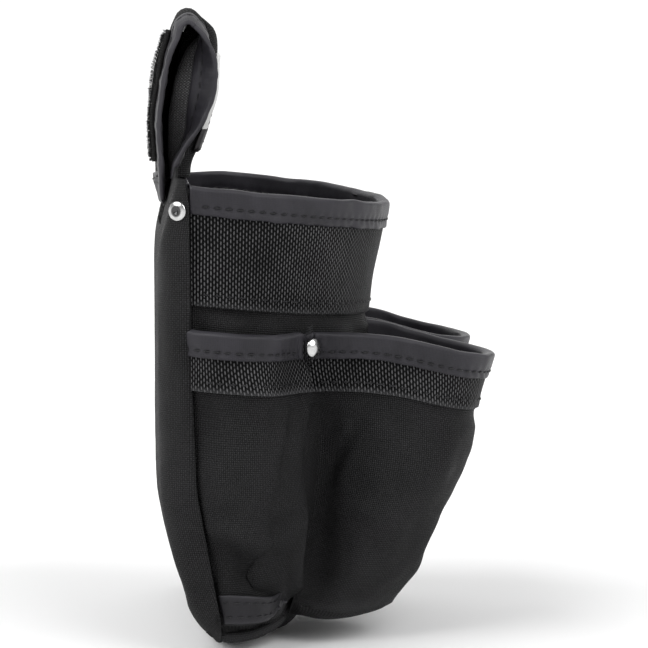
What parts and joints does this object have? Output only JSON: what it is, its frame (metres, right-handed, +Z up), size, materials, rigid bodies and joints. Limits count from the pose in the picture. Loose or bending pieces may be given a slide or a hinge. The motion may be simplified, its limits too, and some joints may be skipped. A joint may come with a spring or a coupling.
{
  "type": "electrician tool pouch",
  "caption": "Black woven tool pouch with a wide main pocket, webbing-banded side and front pockets, riveted corners and a hook-and-loop belt flap.",
  "frame": {"origin": "middle of the belt tunnel, inside the belt flap's loop", "axes": "+X to the right seen from the front, along the belt; -Y to the front, away from the wearer; +Z up"},
  "size_m": [0.219, 0.1564, 0.2859],
  "materials": {
    "pack_cloth": "black coated pack cloth with a coarse basket weave",
    "webbing": "heavy ribbed black webbing",
    "binding_tape": "smooth grosgrain binding tape, slightly lighter than the cloth, stitched",
    "nickel": "bright nickel plate",
    "hook_and_loop": "matt black hook and loop tape",
    "foam": "closed-cell foam, hidden",
    "board": "stiffening board, hidden",
    "patch": "plain pale moulded patch with a raised border and a dark lower band"
  },
  "bodies": {
    "pouch": {"back_cover": "pack_cloth", "back_lining": "pack_cloth", "main_pocket_wall": "pack_cloth", "base_panel": "pack_cloth", "lower_panel_left": "pack_cloth", "lower_panel_right": "pack_cloth", "pocket_floor_left": "pack_cloth", "pocket_floor_right": "pack_cloth", "flap_front_lining": "pack_cloth", "flap_front_cover": "pack_cloth", "main_webbing": "webbing", "lower_webbing_left": "webbing", "lower_webbing_right": "webbing", "main_rim_binding": "binding_tape", "back_rim_binding": "binding_tape", "lower_binding_left": "binding_tape", "lower_binding_right": "binding_tape", "side_pocket_tape_left": "binding_tape", "side_pocket_tape_right": "binding_tape", "flap_front_binding": "binding_tape", "pocket_rivet_caps": "nickel", "pocket_rivet_posts": "nickel", "corner_rivet_caps": "nickel", "corner_rivet_posts": "nickel", "back_loop_tape": "hook_and_loop", "back_foam": "foam", "stiffener_board": "board", "flap_patch": "patch"},
    "flap_tail": {"flap_tail_lining": "pack_cloth", "flap_tail_cover": "pack_cloth", "flap_tail_binding": "binding_tape", "flap_tail_strip": "hook_and_loop", "flap_hook_tape": "hook_and_loop"}
  },
  "joints": [
    {"name": "flap_open", "type": "hinge", "parent": "pouch", "child": "flap_tail", "pos_m": [0, -0.00605, 0.04285], "axis": [1, 0, 0], "range_deg": [0, 160]}
  ]
}
